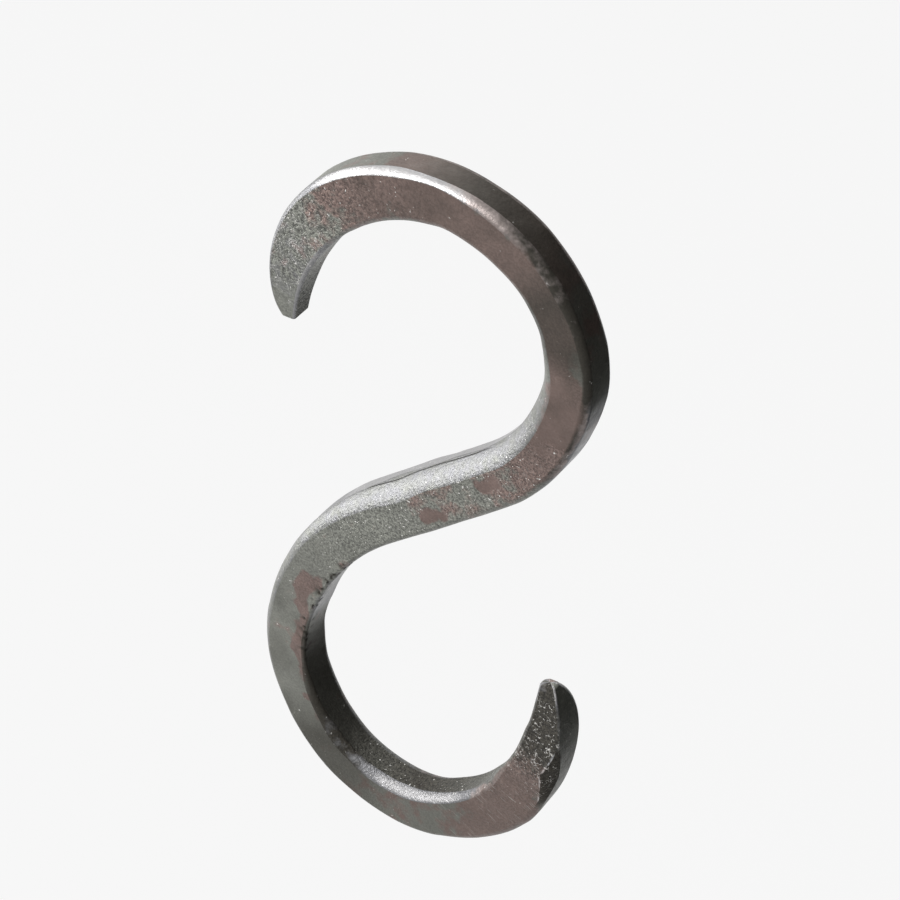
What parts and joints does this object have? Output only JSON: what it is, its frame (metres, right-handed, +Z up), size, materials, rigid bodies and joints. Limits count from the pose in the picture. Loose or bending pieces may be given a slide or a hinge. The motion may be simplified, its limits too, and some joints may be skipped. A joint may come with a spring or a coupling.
{
  "type": "s hook",
  "caption": "Hand-forged steel S hook: a flattened square bar bent into opposed open bights, with each end drawn down to a blunt point.",
  "frame": {"origin": "the upper seat: the lowest point of the inner face under the crown of the upper bight, in the middle of the bar's depth, where the hook hangs on a ring, rod or chain link", "axes": "+Z up along the hook's height as it hangs, +Y from the front of the flat S to its back along the bar's depth, +X to the right as seen from the front, which is the side that the lower bight opens to"},
  "size_m": [0.048, 0.0058, 0.106],
  "materials": {
    "forged_steel": "hand-forged mild steel with thin forge scale, oiled or waxed dark, brown in places, with hammer marks and bare bright edges"
  },
  "bodies": {
    "root": {"s_hook": "forged_steel"}
  },
  "joints": []
}
